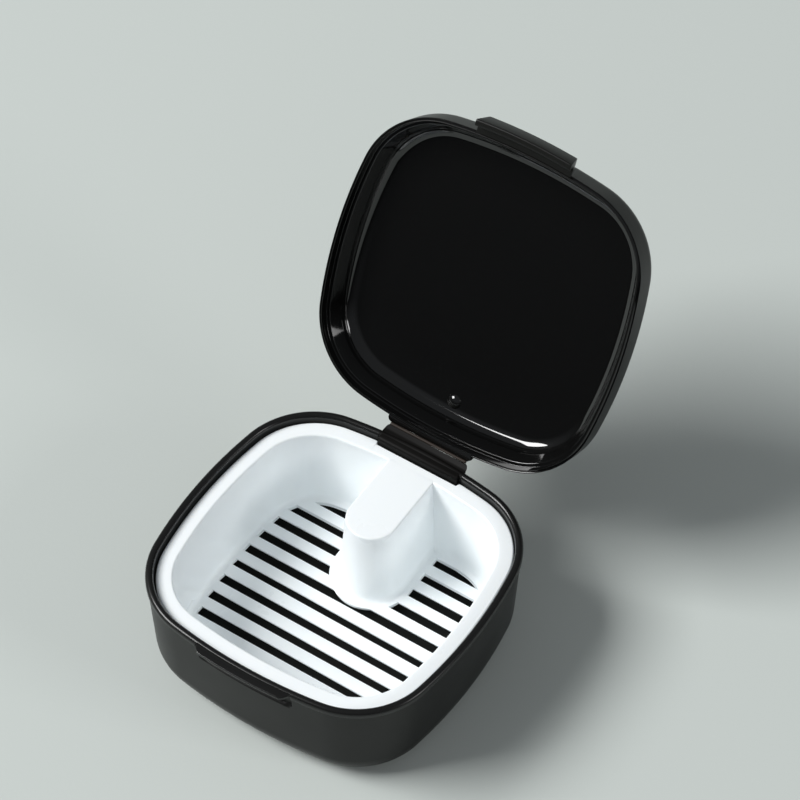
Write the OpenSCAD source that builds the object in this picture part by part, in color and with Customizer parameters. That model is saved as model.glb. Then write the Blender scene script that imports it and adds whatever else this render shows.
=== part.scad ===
// Denture case: a black flip-top box moulded in one piece with its lid, and a
// white slotted basket that lifts out of it. The lid stands open in this model.
// X runs across the case, the catch is at -Y, the hinge is at +Y and Z points up.
// The origin is at the middle of the underside, which is flat.
// Outlines are four shallow side bows joined by four corner arcs. Every wall is
// swept along that outline, so a profile point is (inset from the outline, height).

/* [Case outline] */

// Width of the case across its rim
case_w = 85; // [70:0.5:110]
// Depth of the case from the front bow to the hinge bow
case_d = 82.7; // [68:0.1:108]
// How far the left and right sides have turned, in degrees, where a corner begins
side_turn = 9.46; // [4:0.02:16]
// How far the front and back have turned, in degrees, where a corner begins
front_turn = 8.42; // [4:0.02:16]
// Radius of the four rounded corners
corner_r = 22.8; // [19:0.1:30]

/* [Base tub] */

// Height of the base tub up to the top of its rim
base_h = 31.7; // [26:0.1:50]
// Thickness of the wall at the rim
rim_wall = 2.1; // [1.8:0.05:3]
// Thickness of the wall below the basket ledge
wall = 2.2; // [1.6:0.05:3]
// Thickness of the floor
floor_t = 2; // [1.2:0.1:4]
// Radius that draws the sides in to the floor
base_round = 8.4; // [5:0.1:12]
// Slope of the sides in degrees
base_draft = 3; // [0:0.25:6]
// How far the sides step in under the rim bead
bead_step = 0.4; // [0.2:0.05:1]
// Height of the straight part of the rim bead
bead_flat = 0.75; // [0.3:0.05:2]
// Width of the ledge that the basket hangs on
ledge_w = 1.3; // [1.2:0.1:2.4]

/* [Basket] */

// Gap between the underside of the basket and the floor of the base
basket_lift_gap = 1.85; // [0.8:0.05:4]
// How far the basket's rim lies below the rim of the base
basket_drop = 2.4; // [2.1:0.1:5]
// Clearance around the basket's rim
basket_fit = 0.4; // [0.35:0.05:0.8]
// How far the basket sits back towards the hinge within that clearance
basket_push = 0.25; // [0:0.05:0.25]
// Clearance between the basket's rim and its ledge
seat_gap = 0.05; // [0.05:0.05:0.3]
// Width of the basket's rim
flange_w = 4.2; // [3.6:0.1:6]
// Thickness of the basket's rim
flange_t = 1.6; // [1:0.1:3]
// Thickness of the basket's wall and floor
basket_wall = 1.2; // [1:0.1:2]
// How far the basket's inside wall leans in by the time it meets the floor
basket_lean = 1.8; // [1:0.1:3]
// Radius between the basket's wall and its floor
basket_round = 1.6; // [0.8:0.1:2.4]
// Distance between two floor slots
slot_pitch = 5.77; // [4:0.01:9]
// Width of a floor slot
slot_w = 2.55; // [1:0.01:3]
// Distance between the basket's rim outline and the slot ends
slot_margin = 7.5; // [7:0.1:12]

/* [Finger grip] */

// Half width of the grip at its top
grip_r = 6.85; // [5:0.05:9]
// How far the grip widens on each side down to the floor
grip_flare = 2; // [0.5:0.1:3]
// Distance from the middle of the case to the middle of the grip's round end
grip_y = 16.8; // [10:0.1:22]
// Bare floor between the grip's foot and the slots
grip_margin = 2.4; // [1:0.1:5]

/* [Lid] */

// Height of the lid above its rim
lid_h = 11.1; // [8:0.1:16]
// Thickness of the lid's panel
lid_wall = 2; // [1.2:0.05:3]
// How far the lid's side lies inside the outline of the base
lid_in = 0.15; // [0:0.05:0.6]
// Radius around the outside edge of the lid
lid_round = 5.2; // [2.5:0.1:6]
// Width of the lid's flat rim
lid_rim = 1.1; // [1:0.05:2]
// Width of the ledge that runs round inside the rim
lid_ledge = 1; // [0.6:0.05:2]
// Depth of that ledge below the rim
lid_ledge_h = 2.2; // [1.2:0.1:2.5]
// How far the inside of the lid's wall leans in below the ledge
lid_lean = 1.4; // [0.5:0.1:2.5]
// Radius inside the lid between its wall and its panel
lid_fillet = 3.4; // [2:0.1:5]
// Gap between the lid's rim and the rim of the base when closed
rim_gap = 0.1; // [0.05:0.05:0.4]
// Angle of the lid from closed as it stands open
open_angle = 120.35; // [95:0.05:150]

/* [Living hinge] */

// Width of the hinge flaps at the rims
hinge_w = 25.3; // [24:0.1:34]
// Width of the thin web at the fold
web_w = 23.2; // [16:0.1:24.4]
// Distance from the rim's back to the fold
fold_out = 1.6; // [1.4:0.05:3]
// Height of the fold above the rim of the base
fold_up = 0.85; // [0.75:0.05:1.5]
// Radius of the web
web_r = 0.4; // [0.3:0.05:0.6]
// Running gap between the web and the flap on the lid
web_gap = 0.03; // [0.02:0.01:0.1]
// Thickness of the hinge flaps
flap_t = 1.3; // [0.9:0.1:2]
// Width of the block inside the rim at the hinge
block_w = 24; // [16:0.1:34]
// Distance from the back of the rim to the front of that block
block_in = 3.75; // [3.5:0.05:5]

/* [Catch] */

// Width of the catch tab on the lid
tab_w = 27.8; // [26:0.1:34]
// Width of the tab along its top edge
tab_top_w = 25.4; // [16:0.1:27]
// Thickness of the tab
tab_t = 1.3; // [1:0.05:2]
// Height of the tab above the lid's rim
tab_up = 3.8; // [1.6:0.1:5]
// Height of the hook under the lip
hook_h = 0.6; // [0.4:0.05:1.2]
// How far the hook reaches in under the lip
hook_bite = 0.35; // [0.2:0.05:0.6]
// How far the catch lip stands out from the base
lip_out = 1.9; // [1.2:0.05:3]
// Thickness of the catch lip
lip_t = 0.9; // [0.6:0.05:1.5]
// Width of the catch lip along its outer edge
lip_w = 24.2; // [14:0.1:30]
// Clearance around the catch when closed
catch_fit = 0.15; // [0.1:0.05:0.3]
// Width of the finger recess under the lip
recess_w = 28.4; // [20:0.1:34]
// Height of the finger recess
recess_h = 5.4; // [3.5:0.1:8]
// Depth of the finger recess
recess_d = 0.85; // [0.5:0.05:1.1]
// Size of the cut corners of the finger recess
recess_cut = 1.2; // [0.5:0.1:2]

/* [Hidden] */

// Number of flats along a quarter of a small arc and of a large one
steps = 7;
steps_big = 12;
// Preview smoothness
$fn = 120;

// Small edge breaks, and how deep joined pieces reach into each other
edge = 0.3;
soft_edge = 0.5;
bite = 0.3;
eps = 0.01;
// A length that reaches past whatever is cut
past = 1;

half_w = case_w / 2;
half_d = case_d / 2;

// Angles at which the bows hand over to the corner arc
side_end = side_turn;
front_end = 90 - front_turn;

// Centre of the corner arc, so that it touches both bows from inside
side_k = tan(side_turn / 2);
front_k = tan(front_turn / 2);
corner_x = (half_w - corner_r - side_k * (half_d - corner_r)) / (1 - side_k * front_k);
corner_y = (half_d - corner_r - front_k * (half_w - corner_r)) / (1 - side_k * front_k);

// Radii of the bows and how far their centres lie from the middle of the case
side_bow = corner_y / sin(side_turn) + corner_r;
front_bow = corner_x / sin(front_turn) + corner_r;
side_c = half_w - side_bow;
front_c = half_d - front_bow;

// Floors reach this far in as part of the swept ring, and a plate closes the rest
ring_in = 17;
plate_in = 15;

bead_r = rim_wall / 2;
wall_top = base_h - bead_r - bead_flat - bead_step;

// The basket hangs by its rim on the ledge
basket_top = base_h - basket_drop;
flange_z = basket_top - flange_t;
ledge_z = flange_z - seat_gap;
basket_z = floor_t + basket_lift_gap;
basket_floor = basket_z + basket_wall;
flange_in = rim_wall + basket_fit;
inside_top = flange_in + flange_w;
inside_low = inside_top + basket_lean;

// Fold of the living hinge
fold_y = half_d + fold_out;
fold_z = base_h + fold_up;
flap_end = fold_y - web_r / 2;
flap_gap = 0.15;
block_front = half_d - block_in;

lid_z = base_h + rim_gap;
lid_top = lid_z + lid_h;
// The tab and the flap on the lid reach this far into the lid's rim
lid_root = lid_in + lid_rim * 0.6;

lip_top = base_h - catch_fit;
lip_low = lip_top - lip_t;
tab_inner = lip_out + catch_fit;
tab_outer = tab_inner + tab_t;
hook_top = lip_low - catch_fit;
tab_low = hook_top - hook_h;

black = [0.06, 0.06, 0.06];
dark = [0.09, 0.09, 0.09];
white = [0.93, 0.95, 0.95];

// Points along an arc from angle a0 to a1 around (cx, cy)
function arc(cx, cy, r, a0, a1, n) =
    [for (i = [0:n]) [cx + r * cos(a0 + (a1 - a0) * i / n), cy + r * sin(a0 + (a1 - a0) * i / n)]];

// A quarter of the case outline at a given inset, from +X round to +Y
function quarter(inset, n) = concat(
    arc(side_c, 0, side_bow - inset, 0, side_end, n),
    arc(corner_x, corner_y, corner_r - inset, side_end, front_end, n * 3),
    arc(0, front_c, front_bow - inset, front_end, 90, n));
function flip(p) = [for (i = [len(p) - 1:-1:0]) p[i]];

// The whole outline at a given inset, as a closed run of points
function outline(inset, n) = let (q = quarter(inset, n)) concat(
    q,
    [for (p = flip(q)) [-p[0], p[1]]],
    [for (p = q) [-p[0], -p[1]]],
    [for (p = flip(q)) [p[0], -p[1]]]);

// Inset of the sloped side of the base at height z
function side_in(z) = bead_step + (wall_top - z) * tan(base_draft);

// A move in a coarse and a fine step, so that neighbouring sweeps meet exactly
grain = 0.01;
function coarse(v) = round(v / grain) * grain;
module move(x, y) {
    translate([coarse(x), coarse(y), 0]) translate([x - coarse(x), y - coarse(y), 0]) children();
}

// Sweeps the 2D profile (inset, height) along one arc of the outline
module along_arc(r, from_a, to_a) {
    rotate_extrude(angle = to_a - from_a, start = from_a)
        translate([coarse(r), 0]) translate([r - coarse(r), 0]) mirror([1, 0]) children();
}

// Sweeps the 2D profile along the whole outline
module around() {
    for (m = [0, 1])
        mirror([m, 0, 0]) move(side_c, 0) along_arc(side_bow, -side_end, side_end) children();
    for (m = [0, 1])
        mirror([0, m, 0])
            move(0, front_c) along_arc(front_bow, front_end, 180 - front_end) children();
    for (mx = [0, 1], my = [0, 1])
        mirror([mx, 0, 0]) mirror([0, my, 0])
            move(corner_x, corner_y) along_arc(corner_r, side_end, front_end) children();
}

// Sweeps the 2D profile along the front only, a little wider than w
module along_front(w) {
    half_angle = ceil(asin((w / 2 + past) / front_bow));
    mirror([0, 1, 0])
        move(0, front_c) along_arc(front_bow, 90 - half_angle, 90 + half_angle) children();
}

// A flat plate that closes the middle of a swept floor
module middle_plate(z, t) {
    translate([0, 0, z]) linear_extrude(t) polygon(outline(plate_in, 2));
}

// A block across the case with its side view given as (y, z)
module across(w, side_view) {
    translate([-w / 2, 0, 0]) rotate([90, 0, 90]) linear_extrude(w) polygon(side_view);
}

// A block through the front of the case with its front view given as (x, z)
module through_front(front_view) {
    translate([0, -half_d / 2, 0]) rotate([90, 0, 0]) linear_extrude(half_d) polygon(front_view);
}

// Wall, rim bead, basket ledge and floor edge of the base
module base_profile() {
    // centre of the big radius, placed so that it touches both the floor and the side
    round_c = side_in(base_round) + base_round / cos(base_draft);
    polygon(concat(
        [[ring_in, 0]],
        arc(round_c, base_round, base_round, 270, 180 + base_draft, steps_big),
        [[side_in(wall_top), wall_top]],
        [[0, wall_top + bead_step]],
        arc(bead_r, base_h - bead_r, bead_r, 180, 0, steps * 2),
        [[rim_wall, ledge_z]],
        [[rim_wall + ledge_w, ledge_z]],
        arc(round_c, floor_t + base_round - wall, base_round - wall, 180 + base_draft, 270, steps_big),
        [[ring_in, floor_t]]));
}

// The catch lip, thin at its nose so that the hook rides over it
module lip_profile() {
    nose = lip_t / 4;
    polygon([
        [bead_r, lip_low], [-lip_out + nose, lip_low],
        [-lip_out, lip_low + nose], [-lip_out, lip_top - nose],
        [-lip_out + nose, lip_top], [bead_r, lip_top]]);
}

// Plan of the catch lip: wide at the wall and narrower along its outer edge
module lip_plan() {
    outer = -half_d - lip_out + bite;
    root = -half_d + bite;
    root_w = lip_w / 2 + lip_out;
    translate([0, 0, lip_low - past]) linear_extrude(lip_t + 2 * past)
        polygon([
            [-lip_w / 2, outer - past], [lip_w / 2, outer - past], [lip_w / 2, outer],
            [root_w, root], [root_w, root + past + bead_r],
            [-root_w, root + past + bead_r], [-root_w, root], [-lip_w / 2, outer]]);
}

// The finger recess under the lip
module recess() {
    top = lip_low + eps;
    low = top - recess_h;
    shallow = side_in(top) + recess_d;
    deep = side_in(low) + recess_d;
    cove = recess_d / 2;
    intersection() {
        along_front(recess_w + 2 * past)
            polygon([
                [-past, top], [shallow, top], [deep, low + cove], [deep - cove, low], [-past, low]]);
        through_front([
            [-recess_w / 2, top + past], [-recess_w / 2, low + recess_cut],
            [-recess_w / 2 + recess_cut, low - eps], [recess_w / 2 - recess_cut, low - eps],
            [recess_w / 2, low + recess_cut], [recess_w / 2, top + past]]);
    }
}

// Outline of a hinge flap seen from above: its root follows the bow at an inset,
// and its outer corners are rounded
function flap_plan(inset) = let (
    root_r = front_bow - inset, half_a = asin(hinge_w / 2 / root_r),
    r = (hinge_w - web_w) / 2, neck = flap_end - 1.6 * r) concat(
    arc(0, front_c, root_r, 90 + half_a, 90 - half_a, steps),
    [[hinge_w / 2, neck]],
    arc(hinge_w / 2 - r, flap_end - r, r, 20, 90, 4),
    arc(-hinge_w / 2 + r, flap_end - r, r, 90, 160, 4),
    [[-hinge_w / 2, neck]]);

// Cuts a flap to that outline
module flap_cut(z, inset) {
    translate([0, 0, z]) linear_extrude(4 * flap_t) polygon(flap_plan(inset));
}

// The flap on the base rises behind the rim to the fold
module base_flap() {
    under = base_h - flap_t;
    intersection() {
        across(hinge_w + past, [
            [half_d - bead_r, under - edge], [half_d, under - edge],
            [flap_end, fold_z - flap_t], [flap_end, fold_z - flap_gap],
            [half_d + flap_gap, base_h], [half_d - bead_r, base_h]]);
        flap_cut(under - past, 2 * rim_wall);
    }
}

// The block inside the rim that keys into the basket's notch
module hinge_block() {
    back = half_d - rim_wall + bite;
    foot = ledge_z - rim_wall;
    across(block_w, [
        [back, foot - past], [block_front + edge, foot - past], [block_front, foot],
        [block_front, base_h - bead_r - edge], [block_front + edge, base_h - soft_edge],
        [block_front + bead_r, base_h - eps], [back, base_h - eps]]);
}

module base_tub() {
    color(black) {
        difference() {
            union() {
                around() base_profile();
                middle_plate(0, floor_t);
            }
            recess();
        }
        intersection() {
            along_front(lip_w + 2 * lip_out) lip_profile();
            lip_plan();
        }
        hinge_block();
        base_flap();
    }
}

// Side, flat rim, ledge and panel edge of the closed lid
module lid_profile() {
    rim_end = lid_in + lid_rim;
    ledge_end = rim_end + lid_ledge;
    ledge_top = lid_z + lid_ledge_h;
    panel = lid_top - lid_wall;
    out_c = lid_in + edge + lid_round;
    in_c = ledge_end + lid_lean + lid_fillet;
    polygon(concat(
        [[ring_in, lid_top]],
        arc(out_c, lid_top - lid_round, lid_round, 90, 180, steps_big),
        [[lid_in, lid_z + lid_ledge_h / 2], [lid_in, lid_z + edge], [lid_in + edge, lid_z]],
        [[rim_end - edge / 2, lid_z], [rim_end, lid_z + edge / 2]],
        [[rim_end, ledge_top], [ledge_end, ledge_top]],
        arc(in_c, panel - lid_fillet, lid_fillet, 180, 90, steps_big),
        [[ring_in, panel]]));
}

// The catch tab hangs outside the lip and hooks in under it
module tab_profile() {
    roof = lid_z + edge;
    nib = -lip_out + hook_bite;
    polygon([
        [lid_root, roof], [-tab_inner, roof], [-tab_inner, hook_top],
        [nib, hook_top - hook_h / 5], [nib, hook_top - hook_h * 3 / 5],
        [-tab_inner, tab_low], [-tab_outer + edge, tab_low],
        [-tab_outer, tab_low + edge], [-tab_outer, lid_z + tab_up - edge],
        [-tab_outer + edge, lid_z + tab_up], [lid_root, lid_z + tab_up + edge]]);
}

module catch_tab() {
    intersection() {
        along_front(tab_w) tab_profile();
        through_front([
            [-tab_w / 2, tab_low - past], [tab_w / 2, tab_low - past],
            [tab_w / 2, lid_z], [tab_top_w / 2, lid_z + tab_up],
            [tab_top_w / 2, lid_z + tab_up + past], [-tab_top_w / 2, lid_z + tab_up + past],
            [-tab_top_w / 2, lid_z + tab_up], [-tab_w / 2, lid_z]]);
    }
}

// The flap on the lid meets the fold above the flap on the base
module lid_flap() {
    root = half_d - 2 * rim_wall;
    low = base_h + rim_gap + flap_gap;
    top = fold_z + flap_t;
    difference() {
        intersection() {
            across(hinge_w + past, [
                [root, low + edge], [half_d + flap_gap, low],
                [flap_end, fold_z + flap_gap], [flap_end, top],
                [half_d, top + soft_edge], [root, top + soft_edge]]);
            flap_cut(base_h, lid_root);
        }
        translate([-hinge_w / 2 - past, fold_y, fold_z]) rotate([0, 90, 0])
            cylinder(r = web_r + web_gap, h = hinge_w + 2 * past);
    }
}

// A small round nub inside the lid where the mould was filled
module fill_mark() {
    nub_y = 33.2;
    nub_r = 2.7;
    nub_up = 1.9;
    panel = lid_top - lid_wall;
    intersection() {
        translate([0, nub_y, panel + nub_up]) sphere(r = nub_r);
        translate([-nub_r, nub_y - nub_r, panel - nub_r])
            cube([2 * nub_r, 2 * nub_r, nub_r + lid_wall / 2]);
    }
}

// Turns the closed lid to where it stands open
module opened() {
    translate([0, fold_y, fold_z]) rotate([-open_angle, 0, 0])
        translate([0, -fold_y, -fold_z]) children();
}

module lid_shell() {
    color(black) opened() {
        around() lid_profile();
        middle_plate(lid_top - lid_wall, lid_wall);
        catch_tab();
        lid_flap();
        fill_mark();
    }
}

// The thin web that folds
module hinge_web() {
    color(dark) translate([-web_w / 2, fold_y, fold_z]) rotate([0, 90, 0])
        cylinder(r = web_r, h = web_w);
}

// Rim, wall and floor edge of the basket
module basket_profile() {
    out_r = basket_round + basket_wall;
    round_c = inside_low + basket_round;
    polygon(concat(
        [[ring_in, basket_z]],
        arc(round_c, basket_z + out_r, out_r, 270, 180, steps),
        [[inside_top - basket_wall, flange_z]],
        [[flange_in + edge, flange_z], [flange_in, flange_z + edge]],
        arc(flange_in + soft_edge, basket_top - soft_edge, soft_edge, 180, 90, steps),
        arc(inside_top - soft_edge, basket_top - soft_edge, soft_edge, 90, 10, steps),
        arc(round_c, basket_floor + basket_round, basket_round, 180, 270, steps),
        [[ring_in, basket_floor]]));
}

// Side view of the grip, whose back runs inside the basket's wall; t thins it
function grip_side(t, z0, z1) = let (
    low = half_d - inside_low, top = half_d - inside_top, heel = basket_round + basket_wall / 2) [
    [0, z0], [low - heel - t, z0], [low - t - edge, basket_z + basket_wall],
    [low + basket_wall / 3 - t, basket_floor + basket_round],
    [top + basket_wall / 3 - t, flange_z], [top + soft_edge - t, z1], [0, z1]];

// The finger grip, with its side leaning out to the floor; t thins it to its hollow
module grip(t, z0, z1) {
    flare = grip_flare / (basket_top - basket_floor);
    r0 = grip_r - t + flare * (basket_top - z0);
    r1 = grip_r - t + flare * (basket_top - z1);
    long = half_d - grip_y;
    intersection() {
        translate([0, grip_y, 0]) {
            rotate_extrude(angle = 180, start = 180)
                polygon([[0, z0], [r0, z0], [r1, z1], [0, z1]]);
            translate([0, long, 0]) rotate([90, 0, 0]) linear_extrude(long)
                polygon([[-r0, z0], [r0, z0], [r1, z1], [-r1, z1]]);
        }
        across(4 * grip_r, grip_side(t, z0, z1));
    }
}

// Plan of the floor slots, clipped by an inset outline and by the grip's foot
module slots() {
    clip = flange_in + slot_margin;
    foot = grip_r + grip_flare + grip_margin;
    rows = floor((half_d - clip - slot_w / 2) / slot_pitch);
    translate([0, 0, basket_z - past]) linear_extrude(basket_wall + 2 * past)
        intersection() {
            for (i = [-rows:rows])
                translate([-half_w, i * slot_pitch - slot_w / 2]) square([case_w, slot_w]);
            difference() {
                polygon(outline(clip, 5));
                polygon(concat(
                    [[foot, half_d]], [[-foot, half_d]],
                    arc(0, grip_y, foot, 180, 360, 2 * steps_big)));
            }
        }
}

module basket() {
    notch = block_w / 2 + basket_fit;
    notch_y = block_front - basket_fit - basket_push;
    color(white) translate([0, basket_push, 0]) difference() {
        union() {
            difference() {
                union() {
                    around() basket_profile();
                    middle_plate(basket_z, basket_wall);
                }
                slots();
            }
            grip(0, basket_z, basket_top);
        }
        // the grip is hollow and open underneath
        grip(basket_wall, basket_z - past, basket_top - basket_wall);
        // the rim is cut back around the hinge block
        translate([-notch, notch_y, flange_z - past])
            cube([2 * notch, block_in + past, flange_t + 2 * past]);
    }
}

base_tub();
lid_shell();
hinge_web();
basket();
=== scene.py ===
"""A denture case standing open: a black flip-top box with a white slotted basket in it.

Lengths are millimetres in the same frame as the CAD, and become metres where a mesh is made.
Walls are swept along the case's outline, so a profile point is (inset from the outline, height).
"""

import math

import bmesh
import bpy
from mathutils import Matrix, Vector
from mathutils.geometry import delaunay_2d_cdt


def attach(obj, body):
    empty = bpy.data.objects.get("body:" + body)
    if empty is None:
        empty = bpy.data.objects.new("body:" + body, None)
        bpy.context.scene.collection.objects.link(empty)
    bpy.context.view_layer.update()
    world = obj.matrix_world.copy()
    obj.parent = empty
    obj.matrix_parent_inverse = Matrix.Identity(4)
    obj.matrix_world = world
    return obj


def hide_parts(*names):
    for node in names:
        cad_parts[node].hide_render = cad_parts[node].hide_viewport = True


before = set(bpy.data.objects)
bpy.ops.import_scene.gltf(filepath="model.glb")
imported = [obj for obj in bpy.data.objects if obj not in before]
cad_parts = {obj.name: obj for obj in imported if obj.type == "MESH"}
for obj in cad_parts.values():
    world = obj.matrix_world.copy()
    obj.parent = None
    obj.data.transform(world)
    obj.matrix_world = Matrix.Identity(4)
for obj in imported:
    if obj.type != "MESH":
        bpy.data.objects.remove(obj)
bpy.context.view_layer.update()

MM = 0.001

# Radii of small edges, and how far a form reaches into the one that it grows from
SOFT_R, EDGE_R, THIN_R, CRISP_R = 0.3, 0.25, 0.2, 0.1
OVERLAP = 0.3

# Case outline: four shallow bows joined by four corner arcs
HALF_W, HALF_D, CORNER_R = 42.5, 41.35, 22.8
SIDE_TURN, FRONT_TURN = math.radians(9.46), math.radians(8.42)
SIDE_K, FRONT_K = math.tan(SIDE_TURN / 2), math.tan(FRONT_TURN / 2)
CORNER_X = (HALF_W - CORNER_R - SIDE_K * (HALF_D - CORNER_R)) / (1 - SIDE_K * FRONT_K)
CORNER_Y = (HALF_D - CORNER_R - FRONT_K * (HALF_W - CORNER_R)) / (1 - SIDE_K * FRONT_K)
SIDE_BOW = CORNER_Y / math.sin(SIDE_TURN) + CORNER_R
FRONT_BOW = CORNER_X / math.sin(FRONT_TURN) + CORNER_R
SIDE_C, FRONT_C = HALF_W - SIDE_BOW, HALF_D - FRONT_BOW
BOW_END = FRONT_BOW * math.sin(FRONT_TURN)
BOW_STEPS, CORNER_STEPS = 16, 32

# Cuts in the front and back walls lie within this half width and have fine steps at their sides
STRAIGHT_HALF = 16
CUT_STEP, CUT_PLACES = 0.12, 5
INNER_STEPS, OUTER_STEPS = 12, 6

# Base tub
BASE_H, RIM_WALL, LEDGE_W, FLOOR_T, WALL = 31.7, 2.1, 1.3, 2.0, 2.2
BASE_ROUND, BASE_DRAFT, INNER_DRAFT = 8.4, math.tan(math.radians(3)), 0.0165
BEAD_STEP, BEAD_FLAT = 0.4, 0.75
WALL_TOP = BASE_H - RIM_WALL / 2 - BEAD_FLAT - BEAD_STEP
RING_IN = 17.0

# Basket
BASKET_TOP, FLANGE_T, FLANGE_W, BASKET_WALL = 29.3, 1.6, 4.2, 1.2
BASKET_LOW, BASKET_FLOOR = 3.85, 5.05
BASKET_LEAN, BASKET_ROUND, BASKET_PUSH, BASKET_FIT = 1.8, 1.6, 0.25, 0.4
SEAT_GAP = 0.05
FLANGE_IN = RIM_WALL + BASKET_FIT
LEDGE_Z = BASKET_TOP - FLANGE_T - SEAT_GAP
INSIDE_TOP = FLANGE_IN + FLANGE_W
INSIDE_LOW = INSIDE_TOP + BASKET_LEAN

# Floor slots; on the underside the far edge of all but the rearmost rows lies further back
SLOT_PITCH, SLOT_W, SLOT_ROWS = 5.77, 2.55, 5
SLOT_IN, SLOT_FOOT = FLANGE_IN + 7.5, 11.25
SLOT_CORNER, SLOT_EASE = 0.22, 0.14
SLOT_FLARE, FLARED_ROWS = 0.4, 4

# Finger grip and the hollow in it
GRIP_R, GRIP_FLARE, GRIP_Y = 6.85, 2.0, 16.8
HOLLOW_R = GRIP_R + GRIP_FLARE - BASKET_WALL
HOLLOW_BACK, HOLLOW_BACK_TOP = 29.3, 33.0

# Hinge block, flaps and fold
BLOCK_HALF, BLOCK_IN, BLOCK_DROP = 12.0, 3.75, 0.05
BLOCK_REACH = BLOCK_HALF + OVERLAP
FOLD_Y, FOLD_Z, WEB_R = HALF_D + 1.6, BASE_H + 0.85, 0.4
FLAP_HALF, WEB_HALF, FLAP_T, FLAP_GAP = 12.65, 11.6, 1.3, 0.15
FLAP_END = FOLD_Y - WEB_R / 2
FLAP_NECK = FLAP_END - 1.6 * (FLAP_HALF - WEB_HALF)

# Catch
CATCH_FIT = 0.15
LIP_OUT, LIP_HALF, LIP_TOP, LIP_T = 1.885, 12.1, BASE_H - CATCH_FIT, 0.9
LIP_LOW = LIP_TOP - LIP_T
RECESS_HALF, RECESS_H, RECESS_D, RECESS_CUT, RECESS_SOFT = 14.2, 5.4, 0.85, 1.2, 0.35
RECESS_LOW, RECESS_TOP = LIP_LOW - RECESS_H, LIP_LOW + OVERLAP
TAB_HALF, TAB_TOP_HALF, TAB_T, TAB_UP = 13.9, 12.7, 1.3, 3.8
HOOK_TOP, HOOK_H, HOOK_BITE = LIP_LOW - CATCH_FIT, 0.6, 0.35
TAB_LOW = HOOK_TOP - HOOK_H

# Lid, drawn closed and then turned open about the fold
LID_Z, LID_H, LID_WALL, LID_IN = BASE_H + 0.1, 11.1, 2.0, 0.15
LID_ROUND, LID_FILLET = 5.4, 3.4
LID_RIM, LID_LEDGE, LID_LEDGE_H, LID_LEAN = 1.1, 1.0, 2.2, 1.4
LID_ROOT = LID_IN + LID_RIM * 0.6
LID_PANEL = LID_Z + LID_H - LID_WALL
NUB_Y = 33.2
NUB_PROFILE = [
    (2.1, 0.3),
    (1.98, 0.02),
    (1.86, -0.1),
    (1.66, -0.3),
    (1.4, -0.47),
    (1.1, -0.61),
    (0.75, -0.72),
    (0.4, -0.78),
    (0.15, -0.79),
]
OPEN = math.radians(120.35)

# Angles between the points of an arc
ROUGH, MIDDLING, FINE, FINEST = (math.radians(a) for a in (30, 20, 8, 5))


# Shapes


def span(a, b, n):
    return [a + (b - a) * i / n for i in range(n + 1)]


def rounded(points, closed=True, step=FINE):
    """Rounds each corner (x, z, radius) of a polyline with an arc."""
    out, count = [], len(points)
    for i, (x, z, r) in enumerate(points):
        p = Vector((x, z))
        if r <= 0 or (not closed and i in (0, count - 1)):
            out.append((x, z))
            continue
        a = (Vector(points[i - 1][:2]) - p).normalized()
        b = (Vector(points[(i + 1) % count][:2]) - p).normalized()
        angle = a.angle(b)
        centre = p + (a + b).normalized() * r / math.sin(angle / 2)
        start = p + a * r / math.tan(angle / 2) - centre
        turn = math.pi - angle
        sign = 1 if start.cross(b) > 0 else -1
        n = max(2, math.ceil(turn / step))
        for k in range(n + 1):
            t = sign * turn * k / n
            c, s = math.cos(t), math.sin(t)
            out.append((centre.x + start.x * c - start.y * s, centre.y + start.x * s + start.y * c))
    return out


def smooth_step(v):
    v = min(1, max(0, v))
    return v * v * (3 - 2 * v)


def between(y, points):
    """Height at y on a polyline of (y, z)."""
    for (a, za), (b, zb) in zip(points, points[1:]):
        if y <= b:
            return za + (zb - za) * max(0, (y - a) / (b - a))
    return points[-1][1]


def steps_near(edge, reach):
    """Places across the front or back, close together around +-edge, where a cut has its sides."""
    near = [edge + d * CUT_STEP for d in range(-CUT_PLACES, CUT_PLACES + 1)]
    inner = span(0, near[0], INNER_STEPS)[:-1]
    outer = span(near[-1], reach, OUTER_STEPS)[1:-1]
    half = inner + near + outer
    return [-x for x in half[:0:-1]] + half


def stations(back_edge=BLOCK_REACH):
    """Places along the outline, counter-clockwise from the right side: (centre, radius, angle, keep_x)."""
    out = []

    def bow(x, y, r, start, end, n):
        out.extend(((x, y), r, a, False) for a in span(start, end, n)[:-1])

    half = math.pi / 2
    right, left = SIDE_TURN, math.pi - SIDE_TURN
    bow(SIDE_C, 0, SIDE_BOW, -SIDE_TURN, SIDE_TURN, BOW_STEPS)
    bow(CORNER_X, CORNER_Y, CORNER_R, right, half - FRONT_TURN, CORNER_STEPS)
    out.append(((0, FRONT_C), FRONT_BOW, half - FRONT_TURN, False))
    for x in reversed(steps_near(back_edge, BOW_END)):
        out.append(((0, FRONT_C), FRONT_BOW, math.acos(x / FRONT_BOW), True))
    bow(-CORNER_X, CORNER_Y, CORNER_R, half + FRONT_TURN, left, CORNER_STEPS)
    bow(-SIDE_C, 0, SIDE_BOW, left, math.pi + SIDE_TURN, BOW_STEPS)
    bow(-CORNER_X, -CORNER_Y, CORNER_R, math.pi + SIDE_TURN, 3 * half - FRONT_TURN, CORNER_STEPS)
    out.append(((0, -FRONT_C), FRONT_BOW, 3 * half - FRONT_TURN, False))
    for x in steps_near(RECESS_HALF, BOW_END):
        out.append(((0, -FRONT_C), FRONT_BOW, -math.acos(x / FRONT_BOW), True))
    bow(CORNER_X, -CORNER_Y, CORNER_R, 3 * half + FRONT_TURN, 2 * math.pi - SIDE_TURN, CORNER_STEPS)
    return out


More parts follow.
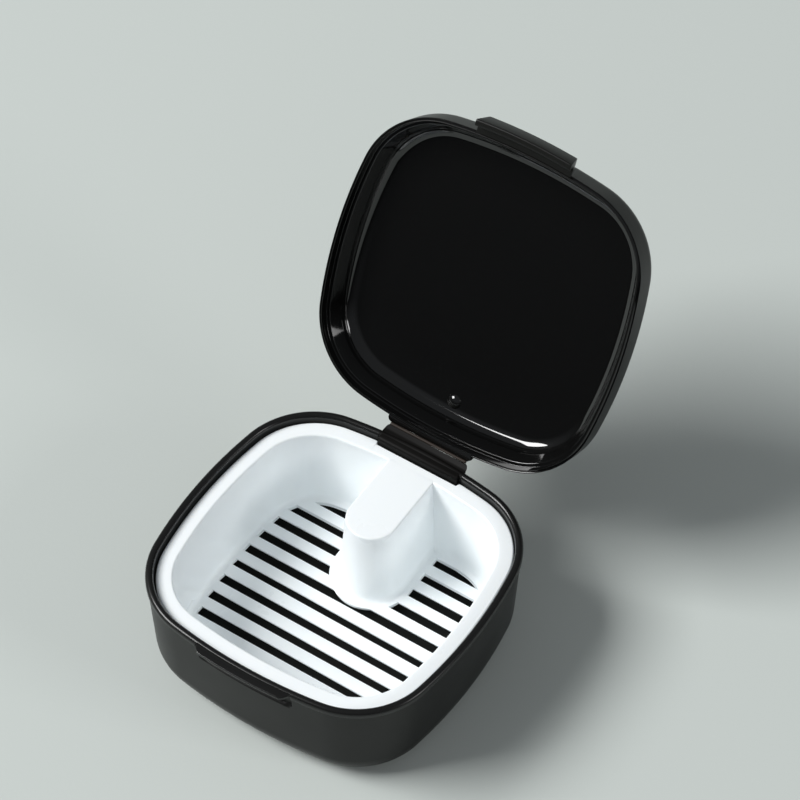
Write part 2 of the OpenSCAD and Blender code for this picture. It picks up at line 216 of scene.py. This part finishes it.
def at(station, inset):
    """Point of a station at an inset. On the front and back it keeps its x, so that cuts run straight."""
    (cx, cy), r, a, keep_x = station
    if not keep_x:
        return cx + (r - inset) * math.cos(a), cy + (r - inset) * math.sin(a)
    ease = min(1, max(0, (abs(r * math.cos(a)) - STRAIGHT_HALF) / (BOW_END - STRAIGHT_HALF)))
    x = (r - ease * inset) * math.cos(a)
    return x, cy + math.copysign(math.sqrt((r - inset) ** 2 - x * x), math.sin(a))


def front_y(x, inset):
    """y of the front bow at x for an inset."""
    return -(FRONT_C + math.sqrt((FRONT_BOW - inset) ** 2 - x * x))


def add_faces(bm, grid, wrap_a=True, wrap_b=True):
    """Joins a grid of vertices [a][b] with quads."""
    na, nb = len(grid), len(grid[0])
    for i in range(na if wrap_a else na - 1):
        this, after = grid[i], grid[(i + 1) % na]
        for j in range(nb if wrap_b else nb - 1):
            k = (j + 1) % nb
            bm.faces.new([this[j], after[j], after[k], this[k]])


def sweep(bm, profile, places, change=None, caps=False):
    """Sweeps an open profile along the outline. change(x, y, z, inset) may move a point."""
    grid = []
    for s in places:
        row = []
        for inset, z in profile:
            x, y = at(s, inset)
            if change:
                x, y, z = change(x, y, z, inset)
            row.append(bm.verts.new((x, y, z)))
        grid.append(row)
    add_faces(bm, grid, True, False)
    if caps:
        bm.faces.new([row[0] for row in grid])
        bm.faces.new([row[-1] for row in reversed(grid)])
    return grid


def loft(bm, sections):
    """Joins closed sections of equal count with quads and closes both ends."""
    grid = [[bm.verts.new(p) for p in s] for s in sections]
    add_faces(bm, grid, False, True)
    bm.faces.new(grid[0])
    bm.faces.new(list(reversed(grid[-1])))
    bmesh.ops.recalc_face_normals(bm, faces=bm.faces)


def soften_ends(bm, width, segments=2, over=30):
    """Bevels the sharp edges round the many-sided faces, which are the ends of a loft."""
    edges = set(e for f in bm.faces if len(f.verts) > 4 for e in f.edges)
    sharp = [e for e in edges if e.calc_face_angle(0) > math.radians(over)]
    bmesh.ops.bevel(
        bm, geom=sharp, offset=width, segments=segments, profile=0.5, affect="EDGES", clamp_overlap=True
    )


def join(bm, part):
    """Moves the faces of one bmesh into another."""
    bmesh.ops.recalc_face_normals(part, faces=part.faces)
    temp = bpy.data.meshes.new("temp")
    part.to_mesh(temp)
    part.free()
    bm.from_mesh(temp)
    bpy.data.meshes.remove(temp)


def finish_piece(bm, name, body, node, materials, pick=None, sharp=38):
    """Makes the object, in metres, rides it on its body and lets it stand for its CAD node."""
    bmesh.ops.scale(bm, vec=(MM, MM, MM), verts=bm.verts)
    mesh = bpy.data.meshes.new(name)
    bm.to_mesh(mesh)
    bm.free()
    mesh.shade_smooth()
    mesh.set_sharp_from_angle(angle=math.radians(sharp))
    obj = bpy.data.objects.new(name, mesh)
    bpy.context.scene.collection.objects.link(obj)
    for m in materials:
        mesh.materials.append(m)
    if pick:
        for p in mesh.polygons:
            p.material_index = pick(p)
    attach(obj, body)
    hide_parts(node)


# Materials

DRIFT_SCALE, WAVE_SCALE, STREAK_SCALE, PAPER_SCALE = 45.0, 55.0, 900.0, 900.0
MICRON = 0.000001


def new_material(name):
    mat = bpy.data.materials.new(name)
    mat.use_nodes = True
    return mat


def tree(mat):
    return mat.node_tree.nodes, mat.node_tree.links, mat.node_tree.nodes["Principled BSDF"]


def noise(nodes, links, scale, detail=3.0, stretch=(1, 1, 1)):
    mapping = nodes.new("ShaderNodeMapping")
    mapping.inputs["Scale"].default_value = stretch
    tex = nodes.new("ShaderNodeTexNoise")
    tex.inputs["Scale"].default_value = scale
    tex.inputs["Detail"].default_value = detail
    links.new(nodes.new("ShaderNodeTexCoord").outputs["Object"], mapping.inputs["Vector"])
    links.new(mapping.outputs["Vector"], tex.inputs["Vector"])
    return tex.outputs["Fac"]


def remap(nodes, links, value, low, high, start=0.3, end=0.7):
    r = nodes.new("ShaderNodeMapRange")
    for key, v in (("From Min", start), ("From Max", end), ("To Min", low), ("To Max", high)):
        r.inputs[key].default_value = v
    links.new(value, r.inputs["Value"])
    return r.outputs["Result"]


def add_bump(mat, height, depth):
    """Lays a bump of that depth over those that the material already has."""
    nodes, links, shader = tree(mat)
    bump = nodes.new("ShaderNodeBump")
    bump.inputs["Strength"].default_value = 1.0
    bump.inputs["Distance"].default_value = depth
    links.new(height, bump.inputs["Height"])
    before = shader.inputs["Normal"].links
    if before:
        links.new(before[0].from_socket, bump.inputs["Normal"])
    links.new(bump.outputs["Normal"], shader.inputs["Normal"])


def plastic(name, color, rough, ior, grain, grain_depth, wave_depth, spread=0.04):
    """Moulded plastic: fine grain, a faint unevenness from the mould, and roughness that drifts."""
    mat = new_material(name)
    nodes, links, shader = tree(mat)
    shader.inputs["Base Color"].default_value = (*color, 1)
    shader.inputs["IOR"].default_value = ior
    drift = noise(nodes, links, DRIFT_SCALE, 4.0)
    links.new(remap(nodes, links, drift, rough - spread, rough + spread), shader.inputs["Roughness"])
    add_bump(mat, noise(nodes, links, grain, 2.0), grain_depth * MICRON)
    add_bump(mat, noise(nodes, links, WAVE_SCALE, 1.0), wave_depth * MICRON)
    return mat


def white_plastic(name, streaks):
    """White plastic, a little translucent, with a faint bluish glow that is painted light lifting its shaded
    walls; streaks are the fine draw lines on the grip.
    """
    mat = plastic(name, (0.865, 0.9, 0.91), 0.3, 1.5, grain=3000.0, grain_depth=2.5, wave_depth=40)
    nodes, links, shader = tree(mat)
    shader.inputs["Subsurface Weight"].default_value = 0.12
    shader.inputs["Subsurface Radius"].default_value = (0.0012, 0.0013, 0.0015)
    shader.inputs["Subsurface Scale"].default_value = 1.0
    # Painted light: a faint bluish glow stands in for the fill and bounce light on the basket's shaded walls.
    shader.inputs["Emission Color"].default_value = (0.86, 0.95, 1.0, 1)
    shader.inputs["Emission Strength"].default_value = 0.08
    if streaks:
        add_bump(mat, noise(nodes, links, STREAK_SCALE, 2.0, (1, 1, 0.02)), 30 * MICRON)
    return mat


black_side = plastic(
    "black_satin", (0.0084, 0.0086, 0.0078), 0.34, 1.27, grain=5200.0, grain_depth=6, wave_depth=60
)
black_gloss = plastic(
    "black_polished", (0.0028, 0.0028, 0.0027), 0.06, 1.6, 2600.0, grain_depth=0.6, wave_depth=20, spread=0.02
)
black_rim = plastic(
    "black_rim", (0.006, 0.006, 0.0057), 0.26, 1.42, grain=4200.0, grain_depth=3, wave_depth=40, spread=0.03
)
black_hinge = plastic(
    "black_hinge", (0.0045, 0.0042, 0.0038), 0.55, 1.2, grain=4800.0, grain_depth=6, wave_depth=30
)
# The fold web's tan colour, lighter than the black plastic, is a painted highlight along the fold line.
fold_highlight_tan = plastic(
    "fold_highlight_tan", (0.03, 0.022, 0.017), 0.5, 1.36, grain=6000.0, grain_depth=8, wave_depth=20
)
white_basket = white_plastic("white_basket", False)
white_grip = white_plastic("white_grip", True)

# Places of the materials in a black piece's list, and in the basket's
GRAINED, SHINY, DULL = 0, 1, 2
PLAIN, STREAKED = 0, 1


# Hinge flaps


def flap_half(y):
    """Half width of a hinge flap: full at the rim, then drawn in round a corner to the fold."""
    t = min(1, max(0, (y - FLAP_NECK) / (FLAP_END - FLAP_NECK)))
    return WEB_HALF + (FLAP_HALF - WEB_HALF) * math.sqrt(1 - t * t)


def add_flap(bm, start, low_line, high_line, ease=0.25):
    """A flap from start to the fold between two lines of (y, z), as a loft of soft-cornered slices."""
    straight = span(start, FLAP_NECK, 4)
    curved = [FLAP_NECK + (FLAP_END - FLAP_NECK) * math.sin(a) for a in span(0, math.pi / 2, 10)[1:]]
    sections = []
    for y in straight + curved:
        w, low, high = flap_half(y), between(y, low_line), between(y, high_line)
        r = min(ease, (high - low) * 0.45)
        ring = rounded([(-w, low, r), (w, low, r), (w, high, r), (-w, high, r)], step=ROUGH)
        sections.append([(x, y, z) for x, z in ring])
    part = bmesh.new()
    loft(part, sections)
    join(bm, part)


# Base tub


def side_in(z):
    """Inset of the tub's outer side at a height."""
    return BEAD_STEP + (WALL_TOP - z) * BASE_DRAFT


def cut_recess(x, y, z, inset):
    """Pushes the outer skin of the front wall in at the finger recess."""
    skin, margin = 1.5, 1
    side = RECESS_HALF - abs(x)
    if y < 0 and inset < skin and side > -margin and RECESS_LOW - margin < z < RECESS_TOP:
        corner = (z - RECESS_LOW + side - RECESS_CUT) / math.sqrt(2)
        nearest = min(side, z - RECESS_LOW, RECESS_TOP - z, corner)
        depth = smooth_step(nearest / RECESS_SOFT + 0.5)
        y += depth * max(0, side_in(z) + RECESS_D - inset)
    return x, y, z


def base_profile():
    """Profile of the tub, with close points up its outer side where the recess is cut."""
    bead = RIM_WALL / 2 - 0.01
    inner_low = RIM_WALL + LEDGE_W + (LEDGE_Z - FLOOR_T) * INNER_DRAFT
    line = rounded(
        [
            (RING_IN, 0, 0),
            (side_in(0), 0, BASE_ROUND),
            (side_in(WALL_TOP), WALL_TOP, SOFT_R),
            (0, WALL_TOP + BEAD_STEP, EDGE_R),
            (0, BASE_H, bead),
            (RIM_WALL, BASE_H, bead),
            (RIM_WALL, LEDGE_Z, CRISP_R),
            (RIM_WALL + LEDGE_W, LEDGE_Z, EDGE_R),
            (inner_low, FLOOR_T, BASE_ROUND - WALL),
            (RING_IN, FLOOR_T, 0),
        ],
        closed=False,
    )
    skin, close_step, wide_step = 1.6, 0.16, 0.3
    start = RECESS_LOW - 0.6
    out = []
    for p, q in zip(line, line[1:]):
        n = 1
        if p[0] < skin and q[0] < skin and q[1] > max(p[1], start) and p[1] < RECESS_TOP:
            n = math.ceil((q[1] - p[1]) / (close_step if p[1] > start - 1 else wide_step))
        out += [(p[0] + (q[0] - p[0]) * k / n, p[1] + (q[1] - p[1]) * k / n) for k in range(n)]
    return out + [line[-1]]


def lip_plan():
    """Outline of the catch lip from above, drawn in towards the wall at both ends."""
    ends = [(LIP_HALF + LIP_OUT * t, -LIP_OUT * (1 - t**1.5)) for t in (0.3, 0.6, 0.85, 1)]
    right = [(x, front_y(x, inset)) for x, inset in ends]
    left = [(-x, y) for x, y in reversed(right)]
    root, root_y = LIP_HALF + LIP_OUT + 0.2, front_y(LIP_HALF + LIP_OUT, 1)
    front = [(x, front_y(x, -LIP_OUT)) for x in span(-LIP_HALF, LIP_HALF, 24)]
    return front + right + [(root, root_y), (-root, root_y)] + left


def add_lip(bm):
    plan = lip_plan()
    part = bmesh.new()
    loft(part, [[(x, y, z) for x, y in plan] for z in (LIP_LOW, LIP_TOP)])
    soften_ends(part, 0.22, segments=3)
    join(bm, part)


def add_block(bm):
    """The hinge block inside the rim at the back."""
    front, back = HALF_D - BLOCK_IN, HALF_D - RIM_WALL + OVERLAP
    foot, top = LEDGE_Z - RIM_WALL, BASE_H - BLOCK_DROP
    heel, heel_h, nose_r = 0.3, 1, 0.95
    side_view = rounded(
        [
            (back, foot - heel_h, 0),
            (front + heel, foot - heel_h, THIN_R),
            (front, foot, THIN_R),
            (front, top, nose_r),
            (back, top, 0),
        ]
    )
    part = bmesh.new()
    loft(part, [[(x, y, z) for y, z in side_view] for x in (-BLOCK_HALF, BLOCK_HALF)])
    soften_ends(part, 0.35)
    join(bm, part)


def base_look(p):
    """The rim bead and lip are glossier than the grained sides, and the hinge is duller."""
    c = p.center / MM
    if abs(c.x) < FLAP_HALF + 0.1 and c.y > HALF_D - BLOCK_IN - 0.1 and c.z > LEDGE_Z:
        return DULL
    return SHINY if c.z > WALL_TOP + 0.2 else GRAINED


def make_base():
    bm = bmesh.new()
    part = bmesh.new()
    sweep(part, base_profile(), stations(), cut_recess, caps=True)
    join(bm, part)
    add_lip(bm)
    add_block(bm)
    root, sag, under = HALF_D - 1, 0.3, BASE_H - FLAP_T
    add_flap(
        bm,
        root,
        [(root, under - sag), (HALF_D, under - sag), (FLAP_END, FOLD_Z - FLAP_T)],
        [(root, BASE_H - BLOCK_DROP), (HALF_D + FLAP_GAP, BASE_H), (FLAP_END, FOLD_Z - FLAP_GAP)],
    )
    looks = [black_side, black_rim, black_hinge]
    finish_piece(bm, "base_tub_shell", "base", "base_tub", looks, base_look)


# Lid


def lid_profile():
    rim_end = LID_IN + LID_RIM
    ledge_end = rim_end + LID_LEDGE
    crease = ledge_end + LID_LEAN
    top, ledge_z = LID_Z + LID_H, LID_Z + LID_LEDGE_H
    draft, ledge_r, slack = 0.3, 0.12, 0.1
    return rounded(
        [
            (RING_IN, top, 0),
            (LID_IN + draft, top, LID_ROUND),
            (LID_IN, LID_Z, SOFT_R),
            (rim_end, LID_Z, THIN_R),
            (rim_end, ledge_z, ledge_r),
            (ledge_end, ledge_z, EDGE_R),
            (crease, LID_PANEL - LID_FILLET, THIN_R),
            (crease, LID_PANEL, LID_FILLET - slack),
            (RING_IN, LID_PANEL, 0),
        ],
        closed=False,
        step=FINEST,
    )


def tab_profile():
    """Side view of the catch tab, with the hook that goes under the lip."""
    inner = LIP_OUT + CATCH_FIT
    outer = inner + TAB_T
    nib = -LIP_OUT + HOOK_BITE
    roof, top = LID_Z + OVERLAP, LID_Z + TAB_UP
    hook_r, toe_r, top_r = 0.08, 0.42, 0.4
    return rounded(
        [
            (LID_ROOT, roof, 0),
            (-inner + 0.35, roof, 0),
            (-inner + 0.1, roof - 0.1, 0),
            (-inner, LID_Z, 0),
            (-inner, HOOK_TOP, hook_r),
            (nib, HOOK_TOP - HOOK_H * 0.2, hook_r),
            (nib, HOOK_TOP - HOOK_H * 0.6, hook_r),
            (-inner, TAB_LOW, CRISP_R),
            (-outer, TAB_LOW, toe_r),
            (-outer, top, top_r),
            (LID_ROOT, top + OVERLAP, 0),
        ],
        step=MIDDLING,
    )


def tab_half(z):
    """Half width of the catch tab, whose ends lean in towards the top."""
    lean = min(1, max(0, (z - LID_Z) / TAB_UP))
    return TAB_HALF + (TAB_TOP_HALF - TAB_HALF) * lean


def add_tab(bm):
    sections = []
    for t in span(-1, 1, 30):
        sections.append([(t * tab_half(z), front_y(t * tab_half(z), inset), z) for inset, z in tab_profile()])
    part = bmesh.new()
    loft(part, sections)
    soften_ends(part, 0.18, segments=3)
    join(bm, part)


def add_nub(bm):
    """A low round nub near the hinge, where the mould was filled. Its profile is (radius, height)."""
    part = bmesh.new()
    rings = []
    for a in span(0, 2 * math.pi, 32)[:-1]:
        points = [(r * math.cos(a), NUB_Y + r * math.sin(a), LID_PANEL + z) for r, z in NUB_PROFILE]
        rings.append([part.verts.new(p) for p in points])
    add_faces(part, rings, True, False)
    part.faces.new([r[-1] for r in rings])
    part.faces.new([r[0] for r in reversed(rings)])
    join(bm, part)


def make_lid():
    bm = bmesh.new()
    part = bmesh.new()
    sweep(part, lid_profile(), stations(), caps=True)
    join(bm, part)
    add_tab(bm)
    root, low, top = HALF_D - 1.2, LID_Z + FLAP_GAP, FOLD_Z + FLAP_T
    sag, swell = 0.3, 0.5
    add_flap(
        bm,
        root,
        [(root, low + sag), (HALF_D + FLAP_GAP, low), (FLAP_END, FOLD_Z + FLAP_GAP)],
        [(root, top + swell), (HALF_D, top + swell), (FLAP_END, top)],
    )
    add_nub(bm)
    fold = Matrix.Translation((0, FOLD_Y, FOLD_Z))
    turn = fold @ Matrix.Rotation(-OPEN, 4, "X") @ fold.inverted()
    to_closed = turn.inverted()
    bmesh.ops.transform(bm, matrix=turn, verts=bm.verts)

    def lid_look(p):
        """The outside is grained, the inside is polished, and the hinge is dull."""
        c = to_closed @ (p.center / MM)
        n = to_closed.to_3x3() @ p.normal
        if abs(c.x) < FLAP_HALF + 0.1 and c.y > -front_y(c.x, LID_IN) + 0.1:
            return DULL
        if abs(c.x) < TAB_HALF and c.y < front_y(c.x, LID_IN) - 0.1:
            return GRAINED
        outside = n.z > 0.2 or (c.z > LID_Z + 0.3 and n.x * c.x + n.y * c.y > 5)
        return GRAINED if outside else SHINY

    looks = [black_side, black_gloss, black_hinge]
    finish_piece(bm, "lid_shell_dish", "lid", "lid_shell", looks, lid_look)


# Fold


def make_fold():
    """The web of the fold, thinner at its tips, with a waviness and flutes along it."""
    taper, tip, slimmest, flute, wave, wave_rate = 0.3, 0.08, 0.55, 0.06, 0.02, 5.3
    middle = span(-WEB_HALF + taper, WEB_HALF - taper, 60)
    sections = []
    for x in [-WEB_HALF, -WEB_HALF + tip] + middle + [WEB_HALF - tip, WEB_HALF]:
        end = min(1, (WEB_HALF - abs(x)) / taper)
        r = WEB_R * (slimmest + (1 - slimmest) * math.sqrt(max(0, 1 - (1 - end) ** 2)))
        r *= 1 - wave * (1 + math.sin(x * wave_rate))
        ring = []
        for k, a in enumerate(span(0, 2 * math.pi, 24)[:-1]):
            here = r * (1 - flute) if k % 3 == 0 else r
            ring.append((x, FOLD_Y + here * math.cos(a), FOLD_Z + here * math.sin(a)))
        sections.append(ring)
    bm = bmesh.new()
    loft(bm, sections)
    finish_piece(bm, "hinge_fold", "base", "hinge_web", [fold_highlight_tan], sharp=60)


# Basket

NOTCH_HALF, NOTCH_SOFT = BLOCK_HALF + BASKET_FIT, 0.5
NOTCH_Y = HALF_D - BLOCK_IN - BASKET_FIT


def cut_notch(x, y, z, inset):
    """Sets the basket back in the case, and cuts its rim around the hinge block."""
    y += BASKET_PUSH
    if y > 0 and z > LEDGE_Z:
        keep = smooth_step((abs(x) - NOTCH_HALF) / NOTCH_SOFT + 0.5)
        y = min(y, NOTCH_Y + (y - NOTCH_Y) * keep)
    return x, y, z


def basket_profile():
    floor_in = INSIDE_LOW + BASKET_ROUND + 0.05
    flange_z = BASKET_TOP - FLANGE_T
    outer_r, brim_r, inner_brim_r = BASKET_ROUND + BASKET_WALL - 0.02, 0.5, 0.6
    return rounded(
        [
            (floor_in, BASKET_LOW, 0),
            (INSIDE_LOW - BASKET_WALL, BASKET_LOW, outer_r),
            (INSIDE_TOP - BASKET_WALL, flange_z, EDGE_R),
            (FLANGE_IN, flange_z, SOFT_R),
            (FLANGE_IN, BASKET_TOP, brim_r),
            (INSIDE_TOP, BASKET_TOP, inner_brim_r),
            (INSIDE_LOW, BASKET_FLOOR, BASKET_ROUND),
            (floor_in, BASKET_FLOOR, 0),
        ],
        closed=False,
    )


def half_width(y, inset):
    """Half width of the outline at y for an inset."""
    y = abs(y)
    if y <= CORNER_Y + (CORNER_R - inset) * math.sin(SIDE_TURN):
        return SIDE_C + math.sqrt((SIDE_BOW - inset) ** 2 - y * y)
    if y <= CORNER_Y + (CORNER_R - inset) * math.cos(FRONT_TURN):
        return CORNER_X + math.sqrt((CORNER_R - inset) ** 2 - (y - CORNER_Y) ** 2)
    return math.sqrt(max(0, (FRONT_BOW - inset) ** 2 - (y - FRONT_C) ** 2))


def foot_half(y):
    """Half width of the bare floor round the grip's foot, which runs straight back from its round end."""
    d = max(0, GRIP_Y - y)
    return math.sqrt(SLOT_FOOT**2 - d * d) if d < SLOT_FOOT else 0


def slot_loops():
    """The floor slots as loops, clipped by the outline and kept clear of the grip's foot."""
    loops = []
    for i in range(-SLOT_ROWS, SLOT_ROWS + 1):
        low, high = i * SLOT_PITCH - SLOT_W / 2, i * SLOT_PITCH + SLOT_W / 2
        # the ends of the outermost rows follow the curve of the outline
        end_steps = 5 if abs(i) == SLOT_ROWS else 1
        end = [(half_width(y, SLOT_IN), y) for y in span(low, high, end_steps)]
        foot_high = foot_half(high)
        if foot_half(low) > 0:
            loop = [(foot_half(low), low)] + end + [(foot_half(y), y) for y in span(high, low, 5)[:-1]]
            loops += [loop, [(-x, y) for x, y in reversed(loop)]]
        else:
            bite = []
            if foot_high > 0:
                across = span(foot_high, -foot_high, 12)
                bite = [(x, GRIP_Y - math.sqrt(SLOT_FOOT**2 - x * x)) for x in across]
            loops.append(end + bite + [(-x, y) for x, y in reversed(end)])
    return loops


def grown(loop, by):
    """A loop moved outwards by a small distance."""
    out = []
    for i, p in enumerate(loop):
        a = (Vector(p) - Vector(loop[i - 1])).normalized()
        b = (Vector(loop[(i + 1) % len(loop)]) - Vector(p)).normalized()
        n = Vector((a.y + b.y, -a.x - b.x)).normalized()
        out.append(tuple(Vector(p) + n * by / max(0.5, math.cos(a.angle(b, 0) / 2))))
    return out


def eased(loop):
    """A loop with rounded corners where it has four; a longer one stays as it is."""
    return rounded([(x, y, SLOT_CORNER if len(loop) < 6 else 0) for x, y in loop], step=ROUGH)


def opened(loop):
    """A slot on the underside, whose far edge lies further back than on top."""
    low = min(y for _, y in loop)
    if low > FLARED_ROWS * SLOT_PITCH - SLOT_W:
        return loop
    return [(x, y + SLOT_FLARE * (y - low) / SLOT_W) for x, y in loop]


def inside(p, loop):
    """Whether a point lies in a loop: a line to its right crosses the loop an odd number of times."""
    hit = False
    for (x1, y1), (x2, y2) in zip(loop, loop[1:] + loop[:1]):
        if (y1 > p.y) != (y2 > p.y) and p.x < (x2 - x1) * (p.y - y1) / (y2 - y1) + x1:
            hit = not hit
    return hit


def floor_skin(bm, ring, holes, z):
    """A flat skin with holes, joined to a ring of vertices that is already there."""
    rim = [(v.co.x, v.co.y - BASKET_PUSH) for v in ring]
    points, loops = [], []
    for loop in [rim] + holes:
        loops.append(range(len(points), len(points) + len(loop)))
        points += [Vector(p) for p in loop]
    edges = [(l[i], l[(i + 1) % len(l)]) for l in loops for i in range(len(l))]
    corners, _, faces, sources, _, _ = delaunay_2d_cdt(points, edges, [], 0, 1e-5)
    made, place = [], {}
    for corner, source in zip(corners, sources):
        if source and source[0] < len(ring):
            made.append(ring[source[0]])
        else:
            made.append(bm.verts.new((corner.x, corner.y + BASKET_PUSH, z)))
        place.update({s: made[-1] for s in source})
    for face in faces:
        middle = sum((corners[i] for i in face), Vector((0, 0))) / len(face)
        if inside(middle, rim) and not any(inside(middle, hole) for hole in holes):
            bm.faces.new([made[i] for i in face])
    return [[place[i] for i in l] for l in loops[1:]]


def add_floor(bm, grid):
    """The floor, as two skins between the ends of the swept wall, with the slots' walls between them."""
    hollow = [
        (HOLLOW_R * math.cos(a), GRIP_Y + HOLLOW_R * math.sin(a)) for a in span(math.pi, 2 * math.pi, 24)
    ] + [(HOLLOW_R, HOLLOW_BACK), (-HOLLOW_R, HOLLOW_BACK)]
    slots = [eased(loop) for loop in slot_loops()]
    top_holes = [grown(loop, SLOT_EASE) for loop in slots] + [hollow]
    low_holes = [opened(loop) for loop in slots] + [hollow]
    top_loops = floor_skin(bm, [row[-1] for row in grid], top_holes, BASKET_FLOOR)
    low_loops = floor_skin(bm, [row[0] for row in grid], low_holes, BASKET_LOW)
    part_way = SLOT_EASE * 0.35
    for slot, top, low in zip(slots, top_loops, low_loops):
        rows = [top]
        for by, depth in ((part_way, part_way), (0, SLOT_EASE)):
            loop = grown(slot, by)
            rows.append([bm.verts.new((x, y + BASKET_PUSH, BASKET_FLOOR - depth)) for x, y in loop])
        add_faces(bm, rows + [low], False, True)


def wall_back(z, extra):
    """y inside the basket's back wall at a height."""
    lean = BASKET_LEAN * (BASKET_TOP - z) / (BASKET_TOP - BASKET_FLOOR)
    return HALF_D - INSIDE_TOP - lean + BASKET_PUSH + extra


def add_grip_skin(bm, rise, closed):
    """A skin round the grip through rings of (radius, height, y of its back), with a flat top."""
    part = bmesh.new()
    rows = []
    for r, z, back in rise:
        front = span(math.pi, 2 * math.pi, 48)
        arc = [(r * math.cos(a), GRIP_Y + BASKET_PUSH + r * math.sin(a), z) for a in front]
        rows.append([part.verts.new(p) for p in [(-r, back, z)] + arc + [(r, back, z)]])
    add_faces(part, rows, False, closed)
    part.faces.new(rows[-1])
    join(bm, part)


def add_grip(bm):
    """The finger grip: an outer skin from a fillet on the floor up to its top, and the hollow inside it."""
    foot, foot_z, spare, into_wall = GRIP_R + GRIP_FLARE, BASKET_FLOOR - 0.01, 2, 0.5
    foot_r, top_r = 1.3, 0.45
    rise = rounded(
        [
            (foot + spare, foot_z, 0),
            (foot, foot_z, foot_r),
            (GRIP_R, BASKET_TOP, top_r),
            (GRIP_R - spare, BASKET_TOP, 0),
        ],
        closed=False,
    )[1:-1]
    add_grip_skin(bm, [(r, z, wall_back(z, into_wall)) for r, z in rise], False)
    inner_r, roof, back = GRIP_R - BASKET_WALL, BASKET_TOP - BASKET_WALL, HOLLOW_BACK + BASKET_PUSH
    hollow_rise = [
        (HOLLOW_R, BASKET_LOW, back),
        (HOLLOW_R, BASKET_FLOOR, back),
        (inner_r + 0.6, roof - 0.6, HOLLOW_BACK_TOP),
        (inner_r + 0.4, roof - 0.1, HOLLOW_BACK_TOP),
        (inner_r, roof, HOLLOW_BACK_TOP),
    ]
    add_grip_skin(bm, hollow_rise, True)


def basket_look(p):
    """The grip has draw lines on its steep sides."""
    c = p.center / MM
    reach = GRIP_R + GRIP_FLARE + 0.6
    near = abs(c.x) < reach and GRIP_Y - reach < c.y < wall_back(c.z, -0.3)
    return STREAKED if near and BASKET_FLOOR + 0.8 < c.z < BASKET_TOP - 0.3 else PLAIN


def make_basket():
    bm = bmesh.new()
    part = bmesh.new()
    grid = sweep(part, basket_profile(), stations(back_edge=NOTCH_HALF), cut_notch)
    add_floor(part, grid)
    join(bm, part)
    add_grip(bm)
    looks = [white_basket, white_grip]
    finish_piece(bm, "basket_shell", "basket", "basket", looks, basket_look)


# Stage, light and camera

PAPER_COLOR, PAPER_HALF, PAPER_STEPS, PAPER_DROP = (0.56, 0.60, 0.575), 6.0, 40, 0.00005
KEY, FILL, SKY = 182.0, 32.0, 0.21
LIGHT_AIM, LIGHT_DISTANCE = Vector((0, 0.04, 0.03)), 4.0
CAMERA_AT, CAMERA_LENS = Vector((309.4, -446.4, 779.2)) * MM, 165.3
CAMERA_AZ, CAMERA_EL, CAMERA_ROLL = math.radians(33.03), math.radians(51.55), math.radians(0.45)


def make_stage():
    """A large sheet of grey-green paper under the case."""
    mat = new_material("backdrop_paper")
    nodes, links, shader = tree(mat)
    shader.inputs["Base Color"].default_value = (*PAPER_COLOR, 1)
    shader.inputs["Roughness"].default_value = 0.9
    shader.inputs["Specular IOR Level"].default_value = 0.1
    add_bump(mat, noise(nodes, links, PAPER_SCALE), 20 * MICRON)
    bm = bmesh.new()
    bmesh.ops.create_grid(bm, x_segments=PAPER_STEPS, y_segments=PAPER_STEPS, size=PAPER_HALF)
    mesh = bpy.data.meshes.new("paper_sweep")
    bm.to_mesh(mesh)
    bm.free()
    mesh.materials.append(mat)
    stage = bpy.data.objects.new("paper_sweep", mesh)
    stage.location.z = -PAPER_DROP
    bpy.context.scene.collection.objects.link(stage)


def area_light(name, direction, elevation, size, power):
    """A soft light; direction is its bearing in degrees, with 0 towards the front and 90 towards the left."""
    data = bpy.data.lights.new(name, "AREA")
    data.shape = "RECTANGLE"
    data.size, data.size_y = size
    data.energy = power
    obj = bpy.data.objects.new(name, data)
    a, e = math.radians(direction), math.radians(elevation)
    back = Vector((-math.sin(a) * math.cos(e), -math.cos(a) * math.cos(e), math.sin(e)))
    obj.location = LIGHT_AIM + back * LIGHT_DISTANCE
    obj.rotation_euler = back.to_track_quat("Z", "Y").to_euler()
    bpy.context.scene.collection.objects.link(obj)


def make_sky():
    """The studio is dim near the horizon and lighter overhead."""
    world = bpy.data.worlds.new("studio")
    bpy.context.scene.world = world
    world.use_nodes = True
    nodes, links = world.node_tree.nodes, world.node_tree.links
    background = nodes["Background"]
    background.inputs["Color"].default_value = (0.9, 0.95, 1.0, 1)
    height = nodes.new("ShaderNodeSeparateXYZ")
    links.new(nodes.new("ShaderNodeTexCoord").outputs["Generated"], height.inputs["Vector"])
    strength = remap(nodes, links, height.outputs["Z"], 0.1 * SKY, SKY, 0.02, 0.5)
    links.new(strength, background.inputs["Strength"])


def make_camera():
    data = bpy.data.cameras.new("camera")
    data.sensor_width = 36.0
    data.lens = CAMERA_LENS
    data.clip_start, data.clip_end = 0.05, 20.0
    level = Vector((-math.sin(CAMERA_AZ), math.cos(CAMERA_AZ), 0))
    forward = level * math.cos(CAMERA_EL) - Vector((0, 0, math.sin(CAMERA_EL)))
    right = Vector((math.cos(CAMERA_AZ), math.sin(CAMERA_AZ), 0))
    up = right.cross(forward)
    side = right * math.cos(CAMERA_ROLL) + up * math.sin(CAMERA_ROLL)
    head = up * math.cos(CAMERA_ROLL) - right * math.sin(CAMERA_ROLL)
    camera = bpy.data.objects.new("camera", data)
    camera.matrix_world = Matrix.Translation(CAMERA_AT) @ Matrix((side, head, -forward)).transposed().to_4x4()
    bpy.context.scene.collection.objects.link(camera)
    bpy.context.scene.camera = camera


make_base()
make_lid()
make_fold()
make_basket()
make_stage()
area_light("key_softbox", 57, 44.5, (2.0, 1.55), KEY)
area_light("right_fill", -98, 25, (1.2, 0.9), FILL)
make_sky()
make_camera()
bpy.context.scene.view_settings.view_transform = "Standard"
